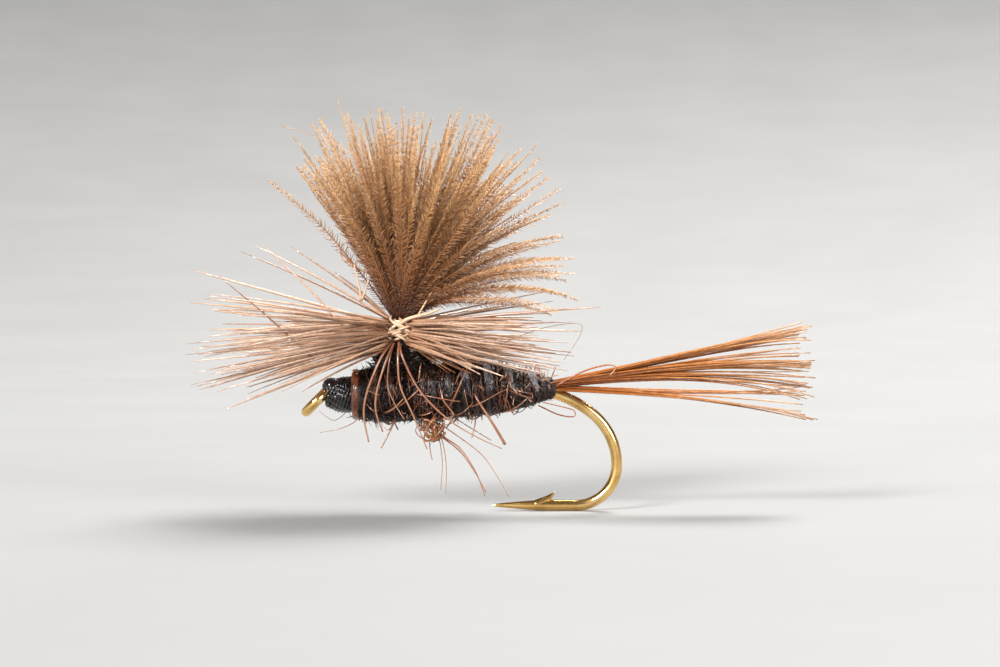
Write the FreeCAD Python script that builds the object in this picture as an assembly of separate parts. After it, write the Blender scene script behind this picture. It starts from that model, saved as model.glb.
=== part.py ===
import FreeCAD, Part
import math
import os
import random

from FreeCAD import Vector

# A parachute dry fly. Millimetres. The origin is the centre of the hook's eye,
# +X runs along the shank to the tail, +Z is up to the tip of the wing.

# hook
WIRE_D = 0.44
EYE_WIRE_D = 0.40
EYE_RING_R = 0.55
EYE_BORE_R = 0.37
EYE_TILT = 45.0
SHANK_Z = 0.52
SHANK_START_X = 0.95
BEND_START_X = 8.30
BEND_ARCS = [(4.35, 40.0), (2.64, 50.0), (1.62, 90.0)]
POINT_TIP_X = 7.02
POINT_TAPER = 2.0
POINT_TIP_R = 0.03
BARB_FOOT_X = 9.00
BARB_LENGTH = 0.72
BARB_ANGLE = 38.0

# wound layers: (x, radius) along the shank
UNDERBODY_STATIONS = [(1.05, 0.38), (3.36, 0.42), (8.30, 0.41), (9.10, 0.37)]
UNDERBODY_SIDES = 24
HEAD_STATIONS = [(0.35, 0.36), (0.65, 0.60), (1.05, 0.70), (1.42, 0.68)]
CEMENT_STATIONS = [(0.30, 0.34), (0.52, 0.52)]
HEAD_DROP = 0.22
EYE_CLEARANCE = 0.56
BAND_STATIONS = [(1.42, 1.00), (1.56, 1.10), (1.74, 1.02)]
THORAX_STATIONS = [(1.74, 0.92), (2.60, 1.02), (4.60, 1.04), (5.90, 0.98)]
ABDOMEN_STATIONS = [(5.90, 1.00), (7.40, 0.88), (8.60, 0.68), (9.30, 0.40)]
TAIL_TIE_STATIONS = [(9.30, 0.38), (9.52, 0.33)]
RIB_D = 0.14
RIB_PITCH = 0.86
RIB_TURNS = 3

# wing post, hackle and wing
POST_X = 3.36
POST_R = 0.27
POST_FOOT_Z = 0.96
POST_TOP_Z = 3.62
POST_WRAP_Z = (1.48, 2.30)
POST_WRAP_R = 0.42
HACKLE_Z = (2.42, 3.30)
HACKLE_TURNS = 4
HACKLE_STEM_D = 0.20
HACKLE_BARBS_PER_TURN = 26
HACKLE_LENGTH = 7.35
HACKLE_BARB_R = 0.045
WING_LENGTH = 8.95
WING_ROOT_Z = 3.25
WING_BARB_START = 0.38
WING_BARB_R = 0.11

# tail
TAIL_ROOT = Vector(9.30, 0, 0.70)
TAIL_LENGTH = 10.6
TAIL_FIBRE_R = 0.050

FIBRE_TIP_R = 0.015
FIBRE_SIDES = 6
X_AXIS = Vector(1, 0, 0)
Y_AXIS = Vector(0, 1, 0)
Z_AXIS = Vector(0, 0, 1)


def direction(fan_deg, lean_deg):
    """A unit vector at fan_deg above +X in the upright plane, leaning lean_deg towards +Y."""
    fan = math.radians(fan_deg)
    lean = math.radians(lean_deg)
    flat = math.cos(lean)
    return Vector(math.cos(fan) * flat, math.sin(lean), math.sin(fan) * flat)


def spread(count, low, high):
    """Evenly spaced values from low to high."""
    step = (high - low) / (count - 1)
    return [low + step * i for i in range(count)]


def ring(centre, axis, radius, sides):
    """The corners of a small polygon round the axis."""
    reference = Z_AXIS if abs(axis.y) > 0.9 else Y_AXIS
    side = axis.cross(reference).normalize()
    other = axis.cross(side)
    angles = [2 * math.pi * i / sides for i in range(sides)]
    return [centre + side * (radius * math.cos(a)) + other * (radius * math.sin(a)) for a in angles]


def rod(points, radii, sides=FIBRE_SIDES):
    """A slender many-sided rod through the points, with its own radius at each."""
    rings = []
    for i, point in enumerate(points):
        before = points[max(i - 1, 0)]
        after = points[min(i + 1, len(points) - 1)]
        rings.append(ring(point, (after - before).normalize(), radii[i], sides))
    faces = [flat_face(rings[0]), flat_face(rings[-1])]
    for low, high in zip(rings, rings[1:]):
        for i in range(sides):
            j = (i + 1) % sides
            faces.append(flat_face([low[i], low[j], high[j]]))
            faces.append(flat_face([low[i], high[j], high[i]]))
    shell = Part.makeShell(faces)
    shell.sewShape()
    return Part.makeSolid(shell)


def flat_face(corners):
    """A flat face with these corners."""
    return Part.Face(Part.makePolygon(corners + [corners[0]]))


def fibre(root, tip, root_r):
    """A straight tapered fibre."""
    return rod([root, tip], [root_r, FIBRE_TIP_R])


def bent_fibre(points, root_r, tip_r=FIBRE_TIP_R):
    """A tapered fibre with a knee at each point."""
    return rod(points, spread(len(points), root_r, tip_r))


def spindle(root, tip, widest_r):
    """A downy barb: thin at its root, widest past the middle, thin at its tip."""
    widest = root + (tip - root) * 0.6
    return rod([root, widest, tip], [FIBRE_TIP_R * 2, widest_r, FIBRE_TIP_R])


def wound_body(stations, turns, bulge, axis_z=SHANK_Z):
    """Side-by-side turns of a strand: a body of revolution round the shank with one bulge a turn."""
    start, end = stations[0][0], stations[-1][0]
    edges = []
    bounds = spread(turns + 1, start, end)
    for left, right in zip(bounds, bounds[1:]):
        middle = (left + right) / 2
        top = radius_at(stations, middle) + bulge
        a = Vector(left, 0, axis_z + radius_at(stations, left))
        b = Vector(middle, 0, axis_z + top)
        c = Vector(right, 0, axis_z + radius_at(stations, right))
        edges.append(Part.Arc(a, b, c).toShape())
    first = Vector(start, 0, axis_z)
    last = Vector(end, 0, axis_z)
    edges.append(Part.makeLine(edges[-1].Vertexes[-1].Point, last))
    edges.append(Part.makeLine(last, first))
    edges.append(Part.makeLine(first, edges[0].Vertexes[0].Point))
    face = Part.Face(Part.Wire(edges))
    return face.revolve(first, X_AXIS, 360)


def radius_at(stations, x):
    """The radius at x, straight between stations."""
    for (x0, r0), (x1, r1) in zip(stations, stations[1:]):
        if x <= x1:
            return r0 + (r1 - r0) * (x - x0) / (x1 - x0)
    return stations[-1][1]


def bend_path():
    """The centre line of the straight shank and the round bend, and where the point run starts."""
    start = Vector(SHANK_START_X, 0, SHANK_Z)
    here = Vector(BEND_START_X, 0, SHANK_Z)
    edges = [Part.makeLine(start, here)]
    heading = 0.0
    for radius, turn in BEND_ARCS:
        middle = arc_end(here, radius, heading, turn / 2)
        end = arc_end(here, radius, heading, turn)
        edges.append(Part.Arc(here, middle, end).toShape())
        here = end
        heading += turn
    return edges, here


def arc_end(start, radius, heading, turn):
    """The end of an arc that bends downwards from a heading below +X."""
    a = math.radians(heading)
    b = math.radians(heading + turn)
    dx = radius * (math.sin(b) - math.sin(a))
    dz = radius * (math.cos(b) - math.cos(a))
    return start + Vector(dx, 0, dz)


def hook():
    """One bent wire: turned-down eye, straight shank, round bend, barb and tapered point."""
    wire_r = WIRE_D / 2
    path, run_start = bend_path()
    profile = Part.Wire(Part.makeCircle(wire_r, path[0].Vertexes[0].Point, X_AXIS))
    bent = Part.Wire(path).makePipeShell([profile], True, False)
    taper_x = POINT_TIP_X + POINT_TAPER
    taper_start = Vector(taper_x, 0, run_start.z)
    run = Part.makeCylinder(wire_r, run_start.x - taper_x, run_start, -X_AXIS)
    point = Part.makeCone(wire_r, POINT_TIP_R, POINT_TAPER, taper_start, -X_AXIS)
    return fuse_all([bent, run, point, barb(run_start.z), neck(), eye_ring()])


def barb(run_z):
    """A sliver raised from the inside of the point run, pointing back to the bend."""
    foot = Vector(BARB_FOOT_X, 0, run_z + WIRE_D * 0.18)
    return Part.makeCone(0.13, 0.02, BARB_LENGTH, foot, direction(BARB_ANGLE, 0))


def neck():
    """The short bend of the wire from the shank down to the eye."""
    slope = direction(EYE_TILT, 0)
    start = slope * EYE_RING_R
    middle = Vector(0.66, 0, 0.485)
    end = Vector(SHANK_START_X, 0, SHANK_Z)
    arc = Part.Wire(Part.Arc(start, middle, end).toShape())
    first = Part.Wire(Part.makeCircle(EYE_WIRE_D / 2, start, arc.Edges[0].tangentAt(0)))
    last = Part.Wire(Part.makeCircle(WIRE_D / 2, end, X_AXIS))
    return arc.makePipeShell([first, last], True, False)


def eye_ring():
    """The ring of the eye, pressed flat inside where the wire was bent round its former."""
    axis = direction(90 + EYE_TILT, 0)
    ring = Part.makeTorus(EYE_RING_R, EYE_WIRE_D / 2, Vector(), axis)
    return ring.cut(eye_bore())


def eye_bore():
    """The open hole through the eye."""
    axis = direction(90 + EYE_TILT, 0)
    return Part.makeCylinder(EYE_BORE_R, 2, axis * -1, axis)


def fuse_all(shapes):
    """All the shapes as one solid."""
    whole = shapes[0].multiFuse(shapes[1:])
    return whole.removeSplitter()


def rib(stations):
    """The pale quill strand in open turns over the abdomen, lying on its surface."""
    start_x = stations[0][0] + 0.25
    length = RIB_PITCH * RIB_TURNS
    start_r = radius_at(stations, start_x)
    end_r = radius_at(stations, start_x + length)
    cone_deg = math.degrees(math.atan((end_r - start_r) / length))
    lift = RIB_D / 2 + 0.03
    helix = Part.makeLongHelix(RIB_PITCH, length, start_r + lift, cone_deg)
    foot = helix.Edges[0].Vertexes[0].Point
    profile = Part.Wire(Part.makeCircle(RIB_D / 2, foot, helix.Edges[0].tangentAt(0)))
    strand = Part.Wire(helix.Edges).makePipeShell([profile], True, True)
    strand.rotate(Vector(), Y_AXIS, 90)
    strand.translate(Vector(start_x, 0, SHANK_Z))
    return strand


def hackle_stem():
    """The hackle's stem, wound round the post from the lowest turn to the highest."""
    low, high = HACKLE_Z
    pitch = (high - low) / HACKLE_TURNS
    helix = Part.makeHelix(pitch, high - low, POST_R + HACKLE_STEM_D / 2 + 0.01)
    foot = helix.Edges[0].Vertexes[0].Point
    profile = Part.Wire(Part.makeCircle(HACKLE_STEM_D / 2, foot, helix.Edges[0].tangentAt(0)))
    stem = Part.Wire(helix.Edges).makePipeShell([profile], True, True)
    stem.translate(Vector(POST_X, 0, low))
    return stem


def hackle_turn(turn, rng):
    """The stiff barbs that stand out from one turn of the hackle's stem."""
    low, high = HACKLE_Z
    root_z = low + (high - low) * (turn + 0.5) / HACKLE_TURNS
    root_r = POST_R + HACKLE_STEM_D + 0.02
    barbs = []
    for i in range(HACKLE_BARBS_PER_TURN):
        azimuth = 2 * math.pi * (i + turn / HACKLE_TURNS) / HACKLE_BARBS_PER_TURN
        rise = math.radians(5.5 * (turn - 1.2) + rng.uniform(-9, 9))
        length = HACKLE_LENGTH - 0.85 * math.cos(azimuth) + rng.uniform(-0.9, 0.4)
        outward = Vector(math.cos(azimuth), math.sin(azimuth), 0)
        aim = outward * math.cos(rise) + Z_AXIS * math.sin(rise)
        root = Vector(POST_X, 0, root_z) + outward * root_r
        barbs.append(fibre(root, root + aim * (length - root_r), HACKLE_BARB_R))
    return barbs


def wing_feather(fans, leans, length, rng):
    """One downy feather: a row of barbs fanned from the top of the post."""
    centre = Vector(POST_X, 0, WING_ROOT_Z)
    barbs = []
    for fan, lean in zip(fans, leans):
        aim = direction(fan + rng.uniform(-1.5, 1.5), lean + rng.uniform(-2, 2))
        reach = length * rng.uniform(0.93, 1.0)
        barbs.append(spindle(centre + aim * WING_BARB_START, centre + aim * reach, WING_BARB_R))
    return barbs


def tail_bunch(count, rises, rng):
    """Stiff tail fibres that fan out from the tail root."""
    fibres = []
    for i, rise in enumerate(spread(count, *rises)):
        side = rng.uniform(-7, 7)
        root = TAIL_ROOT + Vector(0, 0.16 * math.sin(2.4 * i), 0.012 * (i - count / 2))
        length = TAIL_LENGTH * rng.uniform(0.94, 1.0)
        fibres.append(fibre(root, root + direction(rise, side) * length, TAIL_FIBRE_R))
    return fibres


def upright(points, y):
    """Points given as (x, z), all at the same y."""
    return [Vector(x, y, z) for x, z in points]


def legs_near_side():
    """Fibre legs that hang in front of the body."""
    y = -1.32
    return [
        bent_fibre(upright([(2.36, 1.60), (2.04, 0.24), (2.00, -0.60), (2.16, -1.52)], y), 0.060),
        bent_fibre(upright([(2.68, 1.60), (2.48, 0.40), (2.72, -1.12)], y - 0.16), 0.050),
        bent_fibre(upright([(3.36, 1.64), (4.12, -0.88), (4.48, -1.80)], y), 0.055),
        bent_fibre(upright([(6.08, 0.80), (7.10, -0.84), (7.56, -1.64)], y), 0.040, 0.070),
    ]


def legs_far_side():
    """Fibre legs that hang behind the body."""
    y = 1.32
    return [
        bent_fibre(upright([(2.84, 1.60), (2.88, 0.60), (3.24, -1.20)], y), 0.050),
        bent_fibre(upright([(3.60, 1.80), (4.40, 0.24), (5.40, -0.68), (7.44, -1.80)], y), 0.055),
        bent_fibre(upright([(4.80, 0.60), (5.52, -0.60), (5.20, -1.10)], y), 0.050),
    ]


def leg_knot():
    """Three small loops of fibre where the legs cross under the thorax."""
    centre = Vector(4.64, 0, -1.12)
    loops = []
    for i, loop_r in enumerate([0.24, 0.32, 0.40]):
        axis = direction(60 * i, 35)
        loops.append(Part.makeTorus(loop_r, 0.045, centre, axis))
    return loops


def trailing_fibres():
    """Thin fibres that trail down from the knot."""
    y = -0.10
    return [
        bent_fibre(upright([(5.15, -1.44), (5.80, -1.88), (6.76, -3.76)], y), 0.040),
        bent_fibre(upright([(5.25, -1.12), (6.56, -2.04), (7.72, -3.80)], -y), 0.030),
        bent_fibre(upright([(4.95, -1.60), (5.06, -2.50), (5.00, -3.48)], 3 * y), 0.025),
        bent_fibre(upright([(5.10, -1.70), (5.22, -2.60), (5.20, -3.64)], 4 * y), 0.025),
    ]


def tail_stray_loop():
    """One loose fibre that curls over beside the tail root."""
    y = -0.62
    points = [(9.60, 0.70), (10.70, 1.30), (11.60, 1.48), (11.96, 1.40), (11.72, 1.08)]
    return bent_fibre(upright(points, y), 0.030)


def wing_butts(rng):
    """The cut ends of the wing's stems, laid back over the thorax from the post."""
    butts = []
    for side in spread(9, -1, 1):
        root = Vector(POST_X + 0.50, 0.40 * side, 2.20)
        tip = Vector(6.30 + rng.uniform(-0.5, 0.5), 0.85 * side, 1.85 - 0.30 * abs(side))
        butts.append(fibre(root, tip, 0.060))
    return butts


def stem_end():
    """The last stretch of the hackle's stem, tied off and pointing up and back."""
    points = [(3.96, 3.34), (4.45, 3.52), (4.96, 3.70)]
    return bent_fibre(upright(points, -0.20), 0.110, 0.050)


def underbody():
    """The sleeve of fine thread laid on the shank under every other layer."""
    points = [Vector(x, 0, SHANK_Z) for x, radius in UNDERBODY_STATIONS]
    radii = [radius for x, radius in UNDERBODY_STATIONS]
    return rod(points, radii, UNDERBODY_SIDES)


def wound_layers(hook_solid):
    """The thread and strand layers on the shank, each cut to fit what lies under it."""
    under = underbody()
    core = under.fuse(hook_solid)
    post = Part.makeCylinder(POST_R + 0.01, 4, Vector(POST_X, 0, SHANK_Z), Z_AXIS)
    eye_room = Part.makeBox(4, 4, 4, Vector(-2, -2, -4 + EYE_CLEARANCE))
    eye_room.rotate(Vector(), Y_AXIS, EYE_TILT)
    head = wound_body(HEAD_STATIONS, 7, 0.02, SHANK_Z - HEAD_DROP)
    cement = wound_body(CEMENT_STATIONS, 1, 0.03, SHANK_Z - HEAD_DROP)
    return {
        "thread_underbody": under.cut(hook_solid),
        "head_thread": head.cut(core).cut(cement).cut(eye_room),
        "head_cement": cement.cut(hook_solid).cut(eye_room),
        "thorax_quill_band": wound_body(BAND_STATIONS, 2, 0.03).cut(core),
        "thorax_herl": wound_body(THORAX_STATIONS, 13, 0.05).cut(core).cut(post),
        "abdomen_herl": wound_body(ABDOMEN_STATIONS, 13, 0.05).cut(core),
        "tail_tie_down": wound_body(TAIL_TIE_STATIONS, 3, 0.02).cut(core),
    }


def wing_post():
    """The bundled feather stems, standing on the shank, and the thread that binds their foot."""
    bundle = Part.makeCylinder(POST_R, POST_TOP_Z - POST_FOOT_Z, Vector(POST_X, 0, POST_FOOT_Z), Z_AXIS)
    low, high = POST_WRAP_Z
    wraps = []
    pitch = (high - low) / 5
    for i in range(5):
        ring = Part.makeTorus(POST_WRAP_R - 0.05, 0.09, Vector(POST_X, 0, low + pitch * (i + 0.5)))
        wraps.append(ring)
    sleeve = Part.makeCylinder(POST_WRAP_R, high - low, Vector(POST_X, 0, low), Z_AXIS)
    sleeve = sleeve.multiFuse(wraps).cut(bundle)
    return bundle, sleeve


def wing():
    """Five downy feathers, fanned forward, backward, to both sides and low behind."""
    rng = random.Random(7)
    side_fans = spread(15, 60, 116)
    return {
        "wing_feather_forward": wing_feather(spread(14, 96, 127), spread(14, -14, 14), WING_LENGTH, rng),
        "wing_feather_backward": wing_feather(spread(16, 46, 86), spread(16, 14, -14), WING_LENGTH, rng),
        "wing_feather_near": wing_feather(side_fans, spread(15, -16, -26), WING_LENGTH * 0.99, rng),
        "wing_feather_far": wing_feather(side_fans, spread(15, 26, 16), WING_LENGTH * 0.99, rng),
        "wing_feather_low": wing_feather(spread(9, 8, 42), spread(9, -12, 12), WING_LENGTH * 0.88, rng),
    }


def tail():
    """The tail's fibres in three bunches."""
    rng = random.Random(3)
    return {
        "tail_fibres_upper": tail_bunch(10, (7.5, 12.5), rng),
        "tail_fibres_middle": tail_bunch(9, (1.5, 6.5), rng),
        "tail_fibres_lower": tail_bunch(9, (-6.0, 0.5), rng),
    }


def build():
    """Every piece of the fly, by name."""
    rng = random.Random(11)
    hook_solid = hook()
    parts = {"hook": hook_solid}
    parts.update(wound_layers(hook_solid))
    bundle, sleeve = wing_post()
    parts["wing_stem_bundle"] = bundle
    parts["wing_post_wraps"] = sleeve
    parts["abdomen_rib"] = rib(ABDOMEN_STATIONS)
    parts["hackle_stem"] = hackle_stem()
    parts["hackle_stem_end"] = stem_end()
    parts["tail_stray_loop"] = tail_stray_loop()
    for turn in range(HACKLE_TURNS):
        parts[f"hackle_barbs_turn_{turn + 1}"] = hackle_turn(turn, rng)
    parts.update(wing())
    parts.update(tail())
    parts["wing_butt_fibres"] = wing_butts(rng)
    parts["legs_near_side"] = legs_near_side()
    parts["legs_far_side"] = legs_far_side()
    parts["leg_knot"] = leg_knot()
    parts["trailing_fibres"] = trailing_fibres()
    return parts


def main():
    os.makedirs("parts", exist_ok=True)
    for name, shape in build().items():
        if isinstance(shape, list):
            shape = Part.makeCompound(shape)
        shape.exportStep(f"parts/{name}.step")
        box = shape.BoundBox
        print(
            f"{name}: {len(shape.Solids)} solids, {shape.Volume:.3f} mm3, valid {shape.isValid()}, "
            f"x {box.XMin:.2f} {box.XMax:.2f}, y {box.YMin:.2f} {box.YMax:.2f}, z {box.ZMin:.2f} {box.ZMax:.2f}"
        )


main()
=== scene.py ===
import math

import bpy
import numpy as np
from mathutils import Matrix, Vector


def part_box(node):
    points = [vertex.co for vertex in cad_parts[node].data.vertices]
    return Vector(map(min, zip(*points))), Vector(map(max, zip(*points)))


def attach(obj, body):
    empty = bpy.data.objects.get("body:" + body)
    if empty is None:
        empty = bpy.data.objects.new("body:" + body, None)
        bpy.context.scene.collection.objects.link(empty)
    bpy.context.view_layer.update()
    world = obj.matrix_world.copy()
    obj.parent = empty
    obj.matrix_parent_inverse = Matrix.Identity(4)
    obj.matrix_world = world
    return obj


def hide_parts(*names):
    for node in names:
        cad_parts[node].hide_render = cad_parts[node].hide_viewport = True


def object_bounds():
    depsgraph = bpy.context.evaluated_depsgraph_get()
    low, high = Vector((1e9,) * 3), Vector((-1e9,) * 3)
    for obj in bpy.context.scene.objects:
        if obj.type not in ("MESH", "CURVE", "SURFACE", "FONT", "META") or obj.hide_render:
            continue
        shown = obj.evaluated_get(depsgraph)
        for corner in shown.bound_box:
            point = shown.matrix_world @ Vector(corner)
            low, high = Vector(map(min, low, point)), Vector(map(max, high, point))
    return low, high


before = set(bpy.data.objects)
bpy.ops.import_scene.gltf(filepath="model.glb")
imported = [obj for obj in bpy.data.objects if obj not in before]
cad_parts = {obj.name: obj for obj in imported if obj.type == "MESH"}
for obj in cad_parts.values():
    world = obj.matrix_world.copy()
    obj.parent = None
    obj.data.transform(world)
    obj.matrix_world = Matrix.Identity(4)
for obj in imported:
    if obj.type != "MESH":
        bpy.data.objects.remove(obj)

CAD_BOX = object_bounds()

# Lengths are in millimetres here and become metres when a mesh is made.
MM = 0.001
# A fibre's map has this many columns, and each column gives its strands one tint.
COLUMNS = 64
UV_LAYER = "OFBake"
BODY = "root"
seeded = np.random.default_rng


# ---------- places, read from the frame

def box_mm(node):
    """The lowest and highest corner of a CAD node, in millimetres."""
    low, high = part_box(node)
    return np.array(low) / MM, np.array(high) / MM


def middle(node):
    """The centre of a CAD node's box, in millimetres."""
    low, high = box_mm(node)
    return (low + high) / 2


def half_size(node, axis):
    """Half of a CAD node's extent along an axis, in millimetres."""
    low, high = box_mm(node)
    return (high[axis] - low[axis]) / 2


POST_X = middle("wing_stem_bundle")[0]
SHANK_Z = middle("tail_tie_down")[2]
HUB_LOW, HUB_HIGH = (corner[2] for corner in box_mm("hackle_stem"))
HUB_R = half_size("hackle_stem", 0)
WING_ROOT = np.array([POST_X, 0.0, HUB_HIGH - 0.15])
TAIL_ROOT = np.array([box_mm("tail_fibres_middle")[0][0] - 0.05, 0.0, SHANK_Z + 0.08])
THORAX_X = [corner[0] for corner in box_mm("thorax_herl")]
ABDOMEN_X = [corner[0] for corner in box_mm("abdomen_herl")]
THORAX_R = half_size("thorax_herl", 1)
TAIL_TIE_R = half_size("tail_tie_down", 1)
FLOOR_Z = box_mm("hook")[0][2]
# The body's centre hangs this far under the shank in front, and comes back up to it between the two x.
BELLY_DROP = 0.22
BELLY_X = 3.0, 6.5


def body_radius(x):
    """The outer radius of the wound body at x: full in the thorax, tapering to the tail."""
    start = THORAX_X[1] - 0.3
    share = np.clip((x - start) / (ABDOMEN_X[1] - start), 0, 1)
    nose = np.clip((x - THORAX_X[0]) / 0.8, 0, 1)
    full = THORAX_R * (0.9 + 0.1 * nose)
    return full - (full - TAIL_TIE_R) * share ** 2.2


def body_z(x):
    """The height of the body's centre at x: the front hangs a little under the shank."""
    full, none = BELLY_X
    return SHANK_Z - BELLY_DROP * np.clip((none - x) / (none - full), 0, 1)


def body_centre(x):
    """The point at x on the body's centre line."""
    return np.array([x, 0.0, body_z(x)])


# ---------- curves and meshes

def unit(vectors):
    """The vectors at length one."""
    return vectors / np.maximum(np.linalg.norm(vectors, axis=-1, keepdims=True), 1e-12)


def smooth(points, count):
    """A smooth curve through the points (Catmull-Rom), as count points."""
    p = np.array(points, float)
    ends = np.vstack([2 * p[0] - p[1], p, 2 * p[-1] - p[-2]])
    t = np.linspace(0, len(p) - 1 - 1e-9, count)
    i = t.astype(int)
    u = (t - i)[:, None]
    a, b, c, d = ends[i], ends[i + 1], ends[i + 2], ends[i + 3]
    return 0.5 * (2 * b + (c - a) * u + (2 * a - 5 * b + 4 * c - d) * u ** 2
                  + (3 * b - a - 3 * c + d) * u ** 3)


def side_vectors(paths):
    """Tangents and twist-free normals of many paths at once: arrays of shape (paths, points, 3)."""
    tangents = unit(np.gradient(paths, axis=1))
    first = tangents[:, 0]
    helper = np.where(np.abs(first[:, 1:2]) < 0.8, [[0.0, 1.0, 0.0]], [[1.0, 0.0, 0.0]])
    normal = unit(np.cross(first, helper))
    normals = [normal]
    for i in range(1, paths.shape[1]):
        tangent = tangents[:, i]
        normal = unit(normal - tangent * (normal * tangent).sum(-1, keepdims=True))
        normals.append(normal)
    return tangents, np.stack(normals, axis=1)


def placed(name, data):
    """A new object with this data, in the scene."""
    thing = bpy.data.objects.new(name, data)
    bpy.context.scene.collection.objects.link(thing)
    return thing


class Strands:
    """Collects tapered strands and turns them into one closed mesh."""

    def __init__(self):
        self.points, self.loops, self.sizes, self.uvs = [], [], [], []
        self.count = 0

    def add(self, paths, radii, rng, sides=4, normals=None, flatten=1.0, span=None):
        """Adds strands of shape (strands, points, 3), or one of shape (points, 3).

        span is where each strand starts and ends on the map's root-to-tip axis, by default 0 to 1.
        Its place on the other axis is chosen at random."""
        paths = np.asarray(paths, float)
        if paths.ndim == 2:
            paths = paths[None]
        strands, points = paths.shape[:2]
        radii = np.broadcast_to(np.asarray(radii, float), (strands, points))[..., None, None]
        tangents, own = side_vectors(paths)
        if normals is not None:
            own = unit(normals - tangents * (normals * tangents).sum(-1, keepdims=True))
        across = np.cross(tangents, own)
        angle = np.linspace(0, 2 * np.pi, sides, endpoint=False)
        round_part = (own[:, :, None] * np.cos(angle)[:, None] * flatten
                      + across[:, :, None] * np.sin(angle)[:, None])
        ring = paths[:, :, None] + radii * round_part
        self.points.append(ring.reshape(-1, 3))
        column = (rng.integers(0, COLUMNS, strands) + 0.5) / COLUMNS
        if span is None:
            span = np.tile([0.0, 1.0], (strands, 1))
        self._sides(strands, points, sides, column, span)
        self._caps(strands, points, sides, column, span)
        self.count += strands * points * sides
        return self

    def _sides(self, strands, points, sides, column, span):
        n, p, s = np.indices((strands, points - 1, sides))
        t = (s + 1) % sides
        low, high = (n * points + p) * sides, (n * points + p + 1) * sides
        corners = np.stack([low + s, low + t, high + t, high + s], -1) + self.count
        width = 0.7 / COLUMNS
        left = column[n] + (s / sides - 0.5) * width
        right = column[n] + ((s + 1) / sides - 0.5) * width
        reach = span[:, 1] - span[:, 0]
        foot = span[n, 0] + reach[n] * p / (points - 1)
        top = span[n, 0] + reach[n] * (p + 1) / (points - 1)
        uv = np.stack([left, foot, right, foot, right, top, left, top], -1)
        self.loops.append(corners.reshape(-1))
        self.sizes.append(np.full(n.size, 4))
        self.uvs.append(uv.reshape(-1, 2))

    def _caps(self, strands, points, sides, column, span):
        first = (np.arange(strands) * points * sides)[:, None] + self.count
        last = first + (points - 1) * sides
        order = np.arange(sides)[None]
        ends = (first, order[:, ::-1], span[:, :1]), (last, order, span[:, 1:])
        for base, ring_order, along in ends:
            angle = 2 * np.pi * ring_order / sides
            u = column[:, None] + np.cos(angle) * 0.3 / COLUMNS
            v = np.clip(along + np.sin(angle) * 0.01, 0, 1) + np.zeros_like(u)
            self.loops.append((base + ring_order).reshape(-1))
            self.sizes.append(np.full(strands, sides))
            self.uvs.append(np.stack([u, v], -1).reshape(-1, 2))

    def build(self, name, material, slot, *stands_for, own_map=True):
        """Makes the mesh object, which rides on the one body and stands for the named CAD nodes."""
        points = np.concatenate(self.points) * MM
        loops, sizes = np.concatenate(self.loops), np.concatenate(self.sizes)
        mesh = bpy.data.meshes.new(name)
        mesh.vertices.add(len(points))
        mesh.vertices.foreach_set("co", points.astype(np.float32).ravel())
        mesh.loops.add(len(loops))
        mesh.loops.foreach_set("vertex_index", loops.astype(np.int32))
        mesh.polygons.add(len(sizes))
        starts = np.concatenate([[0], np.cumsum(sizes)[:-1]])
        mesh.polygons.foreach_set("loop_start", starts.astype(np.int32))
        mesh.polygons.foreach_set("loop_total", sizes.astype(np.int32))
        mesh.polygons.foreach_set("use_smooth", np.ones(len(sizes), bool))
        if own_map:
            layer = mesh.uv_layers.new(name=UV_LAYER)
            layer.data.foreach_set("uv", np.concatenate(self.uvs).astype(np.float32).ravel())
        mesh.update(calc_edges=True)
        mesh.validate()
        piece = placed(name, mesh)
        mesh.materials.append(material)
        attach(piece, BODY)
        if stands_for:
            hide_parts(*stands_for)


def wind(start, end, radius_of, turns, per_turn, phase, wobble, rng):
    """A strand wound round the line from start to end: its path and its outward normals.

    radius_of takes the share of the line, from 0 to 1, and wobble is how far the turns stray along it."""
    start, end = np.array(start, float), np.array(end, float)
    count = int(turns * per_turn) + 1
    t = np.linspace(0, 1, count)
    axis = unit(end - start)
    side = unit(np.cross(axis, [0.0, 1.0, 0.0]))
    other = np.cross(axis, side)
    angle = 2 * np.pi * turns * t + phase
    outward = side * np.cos(angle)[:, None] + other * np.sin(angle)[:, None]
    radius = np.array([radius_of(share) for share in t])
    knots = rng.normal(0, wobble, int(turns * 3) + 2)
    shift = np.interp(t, np.linspace(0, 1, len(knots)), knots)
    path = start + (end - start) * t[:, None] + axis * shift[:, None] + outward * radius[:, None]
    return path, outward


def ply(path, outward, strand_r, twists, phase):
    """One ply of a twisted thread that follows a path."""
    tangent = unit(np.gradient(path, axis=0))
    across = np.cross(tangent, outward)
    angle = np.linspace(0, 2 * np.pi * twists, len(path)) + phase
    return path + 0.5 * strand_r * (outward * np.cos(angle)[:, None] + across * np.sin(angle)[:, None])


def add_thread(strands, path, outward, strand_r, twists, rng, sides=6):
    """A two-ply twisted thread along a path."""
    for phase in (0.0, np.pi):
        strands.add(ply(path, outward, strand_r, twists, phase), strand_r * 0.62, rng, sides)
    return strands


# ---------- materials

def tree_of(name):
    """A new material, its node tree and its Principled shader."""
    material = bpy.data.materials.new(name)
    material.use_nodes = True
    tree = material.node_tree
    return material, tree, tree.nodes["Principled BSDF"]


def feed(tree, target, inputs):
    """Gives a node's inputs their values, and links those that are another node's output."""
    for key, value in inputs.items():
        if isinstance(value, bpy.types.NodeSocket):
            tree.links.new(value, target.inputs[key])
        else:
            target.inputs[key].default_value = value


def node(tree, kind, inputs, **settings):
    """A shader node with its inputs and settings."""
    made = tree.nodes.new(kind)
    for key, value in settings.items():
        setattr(made, key, value)
    feed(tree, made, inputs)
    return made


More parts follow.
